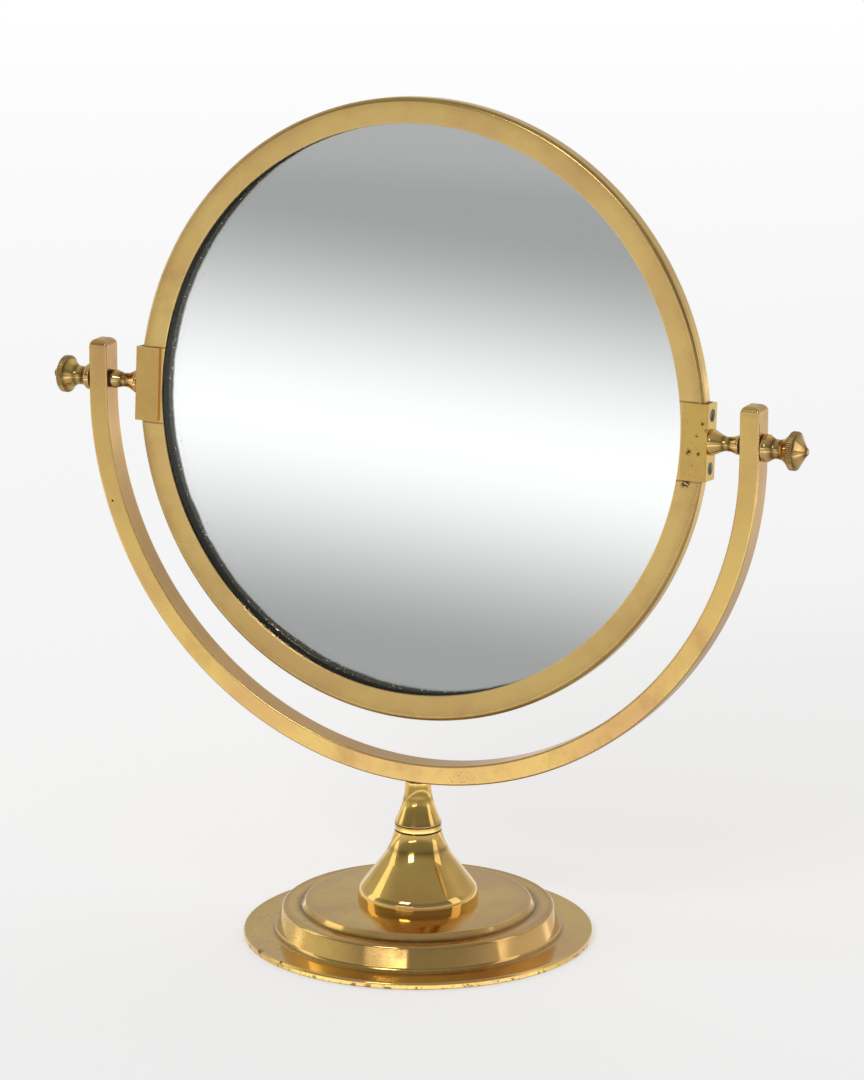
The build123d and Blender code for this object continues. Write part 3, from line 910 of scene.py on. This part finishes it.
@dataclass
class Yoke:
    """Collar and half-round bar with straight arms, domed ends and pivot holes."""

    inner: float = 170.4
    outer: float = 180.5
    depth: float = 11.9
    centre: float = 259.8
    pivot: float = PIVOT
    rise: float = 20.3
    edge_round: float = 0.9
    end_round: float = 3.6
    hole: float = 2.05
    pivot_flat: float = 4.2
    collar_radius: float = 11.6
    collar_neck: float = 6.5
    collar_bottom: float = 54.4
    collar_top: float = 79.3
    groove_drop: float = 21.6
    groove_width: float = 0.5
    dome_steps: int = 12
    arm_steps: int = 8
    flat_steps: int = 6
    bow_steps: int = 220

    def collar(self) -> bpy.types.Object:
        """Flared collar with its turned groove and lower band."""
        groove = self.collar_top - self.groove_drop
        corners = [
            (0, self.collar_bottom, 0),
            (self.collar_radius, self.collar_bottom, 0.4),
            (self.collar_radius, groove - self.groove_width, 0),
            (self.collar_radius - self.groove_width, groove - self.groove_width / 2, 0),
            (self.collar_radius, groove, 0),
            (self.collar_radius, groove + self.groove_width, 0.3),
            (self.collar_neck, self.collar_top - 9.1, 40.0),
            (self.collar_neck, self.collar_top, 0.3),
            (0, self.collar_top, 0),
        ]
        return Lathe("collar_shell", corners, Turning.UPRIGHT, steps=16).build()

    def section(self) -> Profile:
        """Rounded section of the bar about its own middle, with x outwards and y to the back."""
        x, y = (self.outer - self.inner) / 2, self.depth / 2
        corners = [(u * x, v * y, self.edge_round) for u, v in ((1, -1), (1, 1), (-1, 1), (-1, -1))]
        return rounded_profile(corners, closed=True)

    def path(self) -> tuple[np.ndarray, np.ndarray, np.ndarray]:
        """Middle line of the bar with its outward direction.

        The left arm goes down from its end, a half circle joins the arms, and the right arm goes up. The last
        stretch of each arm closes over its end round: there the section shrinks by the end round times one
        minus the cosine of an angle, while it climbs by the sine.

        Returns:
            Points (n, 3), outward directions (n, 3) and how far the section shrinks (n,), in millimetres.
        """
        middle = (self.inner + self.outer) / 2
        top = self.pivot + self.rise
        angle = np.linspace(math.pi / 2, 0, self.dome_steps)
        dome = top - self.end_round + self.end_round * np.sin(angle)
        dome_shrink = self.end_round * (1 - np.cos(angle))
        low, high = self.pivot - self.pivot_flat, self.pivot + self.pivot_flat
        arm = np.concatenate([
            np.linspace(top - self.end_round, high, self.arm_steps)[1:-1],
            np.linspace(high, low, self.flat_steps + 1),
            np.linspace(low, self.centre, 3)[1:-1],
        ])
        heights = np.concatenate([dome, arm])
        shrink = np.concatenate([dome_shrink, np.zeros_like(arm)])
        bow = np.linspace(math.pi, 2 * math.pi, self.bow_steps + 1)
        left = np.stack([np.full_like(heights, -middle), 0 * heights, heights], -1)
        arc = np.stack([middle * np.cos(bow), 0 * bow, self.centre + middle * np.sin(bow)], -1)
        right = left[::-1] * (-1, 1, 1)
        out_arc = np.stack([np.cos(bow), 0 * bow, np.sin(bow)], -1)
        out_left = np.tile((-1.0, 0.0, 0.0), (len(heights), 1))
        out_right = np.tile((1.0, 0.0, 0.0), (len(heights), 1))
        return (
            np.concatenate([left, arc, right]),
            np.concatenate([out_left, out_arc, out_right]),
            np.concatenate([shrink, np.zeros(len(bow)), shrink[::-1]]),
        )

    def bar(self) -> bpy.types.Object:
        """Bar swept along its path, bored for the studs and closed at both ends.

        Each section is the rounded profile, drawn in towards its middle where the ends close, and set across
        the path along the outward direction and the depth.
        """
        profile = self.section()
        line, outward, shrink = self.path()
        half = np.array([(self.outer - self.inner) / 2, self.depth / 2])
        scale = 1 - shrink[:, None] / half[None]
        local = profile.points[None] * scale[:, None, :]
        grid = line[:, None] + outward[:, None] * local[..., :1] + np.array([0, 1.0, 0]) * local[..., 1:]
        ends = np.tile(line[[0, -1]][:, None], (1, grid.shape[1], 1))
        grid = np.concatenate([ends[:1], grid, ends[1:]], 0)
        values = profile.values(len(grid))
        # Side faces are marked for the finish's painted pinker reflection.
        on_side = np.abs(profile.points[:, 1]) < self.depth / 2 - self.edge_round
        values["cheek"] = np.tile(on_side, (len(grid), 1))
        grid = grid.transpose(1, 0, 2) * MM
        item = grid_object("yoke_bow", grid, {k: v.T for k, v in values.items()}, True, False, flip=True)
        for side in Side:
            self.bore(item, side)
        return item

    def bore(self, item: bpy.types.Object, side: Side) -> None:
        """Cut the pivot hole of one arm with a fine cylinder."""
        middle = (self.inner + self.outer) / 2
        edit = bmesh.new()
        place = Matrix.Translation(Vector((side.value * middle, 0, self.pivot)) * MM)
        lying = place @ Matrix.Rotation(math.pi / 2, 4, "Y")
        radius, length = self.hole * MM, 3 * (self.outer - self.inner) * MM
        bmesh.ops.create_cone(edit, cap_ends=True, segments=64, radius1=radius, radius2=radius,
                              depth=length, matrix=lying)
        mesh = bpy.data.meshes.new("bore_tool")
        edit.to_mesh(mesh)
        edit.free()
        tool = linked("bore_tool", mesh)
        cut = item.modifiers.new("bore", "BOOLEAN")
        cut.object = tool
        cut.solver = "EXACT"
        bpy.context.view_layer.objects.active = item
        bpy.ops.object.modifier_apply(modifier=cut.name)
        bpy.data.objects.remove(tool)

    def build(self, finishes: Finishes) -> None:
        """Build and dress the yoke."""
        settle(self.collar(), "yoke", "polished_brass", finishes.bell, "stem_collar")
        settle(self.bar(), "yoke", "polished_brass", finishes.yoke, "yoke_bar")
        for node in ("spindle", "spindle_nut", "plain_washer", "spring_washer"):
            dress_node(node, finishes.steel)
        for side in Side:
            dress_node("friction_washer_" + side.word, finishes.fibre)


@dataclass
class MirrorHead:
    """Ring, glass, silvering, back, clips and bosses, which tilt together."""

    radius: float = 152.4
    face: float = 12.7
    web: float = 1.5
    depth: float = 9.0
    front_flange: float = 1.2
    rear_flange: float = 1.0
    rear_width: float = 7.5
    edge_round: float = 2.2
    glass_radius: float = 149.4
    glass_thickness: float = 5.0
    arris: float = 0.4
    film: float = 0.15
    film_gap: float = 0.03
    pivot: float = PIVOT
    lean: float = math.radians(4.3)
    boss_face: float = 153.95
    boss_length: float = 15.0
    boss_bore: float = 2.05
    boss_tenon: float = 3.0
    boss_foot: float = 6.3
    boss_waist: float = 3.5
    boss_end: float = 4.7

    def about_mirror(self, name: str, corners: list[Corner], closed: bool, segments: int) -> bpy.types.Object:
        """Piece turned about the mirror's own axis, which leans back."""
        lathe = Lathe(name, corners, Turning.MIRROR, (0, 0, self.pivot), closed, segments, self.lean)
        return lathe.build()

    def ring(self) -> bpy.types.Object:
        """Channel ring with rounded outer edges and its two flanges."""
        front, back = -self.depth / 2, self.depth / 2
        inner, channel = self.radius - self.face, self.radius - self.web
        rear_inner = self.radius - self.rear_width
        corners = [
            (inner, front, 0.5),
            (self.radius, front, self.edge_round),
            (self.radius, back, self.edge_round),
            (rear_inner, back, 0.1),
            (rear_inner, back - self.rear_flange, 0.1),
            (channel, back - self.rear_flange, 0.1),
            (channel, front + self.front_flange, 0.1),
            (inner, front + self.front_flange, 0.1),
        ]
        return self.about_mirror("ring_channel", corners, True, 512)

    def glass(self) -> bpy.types.Object:
        """Glass disc with ground arrises."""
        front = -self.depth / 2 + self.front_flange
        back = front + self.glass_thickness
        corners = [
            (0, front, 0),
            (self.glass_radius - self.arris, front, 0),
            (self.glass_radius, front + self.arris, 0),
            (self.glass_radius, back - self.arris, 0),
            (self.glass_radius - self.arris, back, 0),
            (0, back, 0),
        ]
        return self.about_mirror("glass_plate", corners, False, 128)

    def silver(self) -> bpy.types.Object:
        """Thin film of silver, a hair behind the glass so that no two faces share a plane."""
        back = -self.depth / 2 + self.front_flange + self.glass_thickness + self.film
        front = back - self.film + self.film_gap
        rim = self.glass_radius - self.arris
        corners = [(0, front, 0), (rim, front, 0), (rim, back, 0), (0, back, 0)]
        return self.about_mirror("silver_film", corners, False, 96)

    def boss(self, side: Side) -> bpy.types.Object:
        """Waisted boss between a clip and the yoke, with its bore."""
        corners = [
            (0, 1.6, 0),
            (self.boss_bore, 1.6, 0),
            (self.boss_bore, self.boss_length, 0),
            (self.boss_end, self.boss_length, 0.3),
            (self.boss_end, self.boss_length - 1.2, 0.4),
            (self.boss_waist, 10.2, 5.0),
            (self.boss_waist, 6.9, 6.0),
            (self.boss_foot, 1.4, 1.0),
            (self.boss_foot, 0, 0.4),
            (self.boss_tenon, 0, 0),
            (self.boss_tenon, -1.5, 0),
            (0, -1.5, 0),
        ]
        name = "boss_turned_" + side.word
        return Lathe.on_pivot(name, corners[::-1], side, self.boss_face, segments=128, steps=9).build()

    def build(self, finishes: Finishes) -> None:
        """Build and dress the mirror head."""
        settle(self.ring(), "mirror", "polished_brass", finishes.ring, "frame_ring")
        settle(self.glass(), "mirror", "glass", finishes.glass, "mirror_glass")
        settle(self.silver(), "mirror", "silvering", finishes.silvering, "mirror_silvering")
        dress_node("packing_sheet", finishes.card)
        dress_node("back_plate", finishes.sheet)
        for side in Side:
            clip = merged_skin("clip_" + side.word, "clip_folded_" + side.word)
            settle(clip, "mirror", "polished_brass", finishes.clip, "clip_" + side.word)
            dress_node("clip_screws_" + side.word, finishes.dark_steel)
            settle(self.boss(side), "mirror", "polished_brass", finishes.turned, "boss_" + side.word)


@dataclass
class ThumbKnob:
    """Thumb knob on its stud, with the thrust washer under it."""

    side: Side
    face: float = 181.0
    flange: float = 6.7
    neck: float = 4.7
    cup: float = 8.5
    rim_start: float = 13.6
    rim_radius: float = 9.3
    rim_width: float = 3.2
    bevel: float = 0.4
    teeth: int = 61
    tooth_segments: int = 8
    tooth_depth: float = 0.45
    cap_height: float = 4.4
    pip: float = 1.9
    pip_height: float = 0.7
    stud_in_knob: float = 11.0
    bore: float = 2.02

    def knob(self) -> bpy.types.Object:
        """Knob with its flange, waist, cup, knurled rim and coned cap.

        Round the rim the radius is the smaller of the bevelled profile and a saw of flat-sided teeth, whose
        depth falls from nothing on each crest to the tooth depth in each groove.
        """
        end = self.rim_start + self.rim_width
        cap = end + self.cap_height
        corners = [
            (0, self.stud_in_knob, 0),
            (self.bore, self.stud_in_knob, 0),
            (self.bore, 0, 0),
            (self.flange, 0, 0.4),
            (self.flange, 2.2, 1.0),
            (self.neck, 5.2, 3.0),
            (self.neck, 9.2, 5.0),
            (self.cup, self.rim_start, 0.1),
            (self.rim_radius - self.bevel, self.rim_start, 0),
            (self.rim_radius, self.rim_start + self.bevel, 0),
            (self.rim_radius, end - self.bevel, 0),
            (self.rim_radius - self.bevel, end, 0),
            (self.cup, end, 0),
            (self.cup, end + 0.3, 1.0),
            (self.pip, cap, 0.7),
            (self.pip, cap + self.pip_height, 0.5),
            (0, cap + self.pip_height, 0),
        ]
        segments = self.teeth * self.tooth_segments
        profile = rounded_profile(corners)
        angle = np.linspace(0, self.teeth, segments, endpoint=False)[:, None]
        saw = 1 - np.abs(1 - 2 * (angle % 1.0))
        crest = self.rim_radius - self.tooth_depth * saw
        change = np.maximum(profile.points[None, :, 0] - crest, 0)
        name = "knob_turned_" + self.side.word
        lathe = Lathe.on_pivot(name, corners, self.side, self.face, segments=segments, radius_change=change)
        return lathe.build()

    def build(self, finishes: Finishes) -> None:
        """Build and dress one knob with its stud and washer."""
        word = self.side.word
        settle(self.knob(), "thumb_" + word, "polished_brass", finishes.turned, "knob_" + word)
        dress_node("knob_stud_" + word, finishes.steel)
        dress_node("thrust_washer_" + word, finishes.fibre)


@dataclass(frozen=True)
class SoftBox:
    """Soft lamp that points at a place, in metres and watts."""

    name: str
    place: Point
    aim: Point
    size: tuple[float, float]
    power: float


@dataclass
class Studio:
    """Pale floor, soft studio light and the camera."""

    floor_half: float = 9.0
    floor_near: float = -0.4
    floor_far: float = 3.4
    floor_fade: float = 0.7
    yaw: float = math.radians(25.85)
    pitch: float = math.radians(14.13)
    roll: float = math.radians(0.055)
    distance: float = 2.3356
    target: Point = (0.00748, 0.0, 0.20259)
    lens: float = 159.48
    paleness: float = 0.936
    near_glow: float = 0.323
    far_glow: float = 0.269
    window: float = 0.691
    backdrop: float = 0.98
    side_blend: float = 0.35
    window_heights: Point = (-0.1347, -0.0891, -0.0424)
    window_tilt: float = 0.08
    front_room: Stops = (
        (-1.000, 0.450), (-0.500, 0.550), (-0.360, 0.950), (-0.310, 2.200), (-0.275, 0.803), (-0.249, 0.600),
        (-0.215, 0.410), (-0.170, 0.480), (-0.140, 0.374), (-0.040, 0.378), (-0.030, 0.440), (0.020, 0.725),
        (0.100, 0.600), (0.240, 0.250), (0.450, 0.220), (0.700, 0.356), (1.000, 0.340),
    )
    back_room: Stops = (
        (-1.000, 0.450), (-0.500, 0.550), (-0.300, 0.900), (-0.100, 0.750), (0.100, 0.660), (0.240, 0.523),
        (0.400, 0.550), (0.600, 0.650), (1.000, 0.400),
    )
    boxes: tuple[SoftBox, ...] = (
        SoftBox("key", (-0.1, -2.1, 1.65), (0, 0, 0.15), (0.7, 0.5), 8.5),
        SoftBox("left panel", (-2.2, -0.6, 0.9), (0, 0, 0.25), (0.8, 1.4), 3.0),
        SoftBox("right panel", (2.1, 0.5, 0.9), (0, 0, 0.25), (0.8, 1.3), 3.0),
        SoftBox("low strip", (0.0, -1.8, 0.42), (0, 0, 0.05), (1.1, 0.06), 0.55),
    )

    def camera(self) -> None:
        """Camera at the viewing angle of the photograph.

        It looks along (-sin yaw cos pitch, cos yaw cos pitch, -sin pitch) at the target from the distance,
        and its right and up directions turn about that line by the roll.
        """
        look = np.array([
            -math.sin(self.yaw) * math.cos(self.pitch),
            math.cos(self.yaw) * math.cos(self.pitch),
            -math.sin(self.pitch),
        ])
        level = np.array([math.cos(self.yaw), math.sin(self.yaw), 0.0])
        upright = np.cross(level, look)
        right = level * math.cos(self.roll) + upright * math.sin(self.roll)
        up = upright * math.cos(self.roll) - level * math.sin(self.roll)
        place = np.array(self.target) - self.distance * look
        data = bpy.data.cameras.new("camera")
        data.lens = self.lens
        data.sensor_width = 36.0
        data.clip_end = 60.0
        camera = linked("camera", data)
        matrix = np.eye(4)
        matrix[:3, :3] = np.stack([right, up, -look], 1)
        matrix[:3, 3] = place
        camera.matrix_world = Matrix(matrix.tolist())
        bpy.context.scene.camera = camera

    def floor(self) -> None:
        """Wide pale floor, a shade darker towards the front, whose glow only the camera sees."""
        half = self.floor_half
        grid = np.linspace(-half, half, 3)
        x, y = np.meshgrid(grid, grid, indexing="ij")
        points = np.stack([x, y, 0 * x], -1)
        floor = grid_object("floor", points, {}, False, False)
        material, g = new_material("pale floor")
        ahead = (-math.sin(self.yaw), math.cos(self.yaw), 0.0)
        across = g.vectors("DOT_PRODUCT", g.place(), ahead, "Value")
        share = g.out("ShaderNodeMapRange", {},
                      {"Value": across, "From Min": self.floor_near, "From Max": self.floor_far})
        diffuse = g.out("ShaderNodeBsdfDiffuse", {}, {"Color": grey(self.paleness)})
        glow = g.seen() * (self.near_glow + self.far_glow * share ** self.floor_fade)
        plain = g.out("ShaderNodeEmission", {}, {"Color": grey(1.0), "Strength": glow})
        both = g.out("ShaderNodeAddShader", {}, {0: diffuse, 1: plain})
        g.node("ShaderNodeOutputMaterial", {}, {"Surface": both})
        floor.data.materials.append(material)
        floor.visible_glossy = False
        floor.visible_transmission = False

    def world(self) -> None:
        """Studio room, one ramp of greys over the height of the direction on either side of the object.

        A white band, which the mirror shows, is added near eye level. Camera rays see plain near-white.
        """
        world = bpy.data.worlds.new("studio room")
        bpy.context.scene.world = world
        world.use_nodes = True
        g = Graph(world.node_tree)
        direction = g.out("ShaderNodeTexCoord", {}, {}, "Generated")
        height = g.out("ShaderNodeSeparateXYZ", {}, {"Vector": direction}, "Z")
        front, back = (
            g.out("ShaderNodeValToRGB", {"stops": [((z + 1) / 2, grey(v)) for z, v in stops]},
                  {"Fac": 0.5 + 0.5 * height}, "Color")
            for stops in (self.front_room, self.back_room)
        )
        facing = g.vectors("DOT_PRODUCT", direction, (math.sin(self.yaw), -math.cos(self.yaw), 0.0), "Value")
        aside = g.vectors("DOT_PRODUCT", direction, (math.cos(self.yaw), -math.sin(self.yaw), 0.0), "Value")
        tilted = height + aside * self.window_tilt
        low, middle, high = self.window_heights
        window = g.band(tilted, high, middle) * g.band(tilted, low, middle) * self.window
        room = back + (front - back) * g.band(facing, -self.side_blend, self.side_blend) + window
        colour = g.blend(g.seen(), room, grey(self.backdrop)[:3])
        glow = g.out("ShaderNodeBackground", {}, {"Color": colour, "Strength": 1.0})
        g.node("ShaderNodeOutputWorld", {}, {"Surface": glow})

    def lamp(self, box: SoftBox) -> None:
        """Add one soft box, which only lights and isn't seen."""
        data = bpy.data.lights.new(box.name, "AREA")
        data.shape = "RECTANGLE"
        data.size, data.size_y = box.size
        data.energy = box.power
        lamp = linked(box.name, data)
        lamp.location = box.place
        lamp.rotation_mode = "QUATERNION"
        lamp.rotation_quaternion = (Vector(box.aim) - Vector(box.place)).to_track_quat("-Z", "Y")
        lamp.visible_camera = False

    def build(self) -> None:
        """Build the floor, the room, the lamps and the camera."""
        self.floor()
        self.world()
        for box in self.boxes:
            self.lamp(box)
        self.camera()


def main() -> None:
    """Build every sub-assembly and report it."""
    logging.basicConfig(level=logging.INFO, format="%(name)s: %(message)s")
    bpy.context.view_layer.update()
    bpy.context.scene.view_settings.view_transform = "Standard"
    finishes = Finishes.make()
    Base().build(finishes)
    Yoke().build(finishes)
    MirrorHead().build(finishes)
    for side in Side:
        ThumbKnob(side).build(finishes)
    Studio().build()


if __name__ == "__main__":
    main()
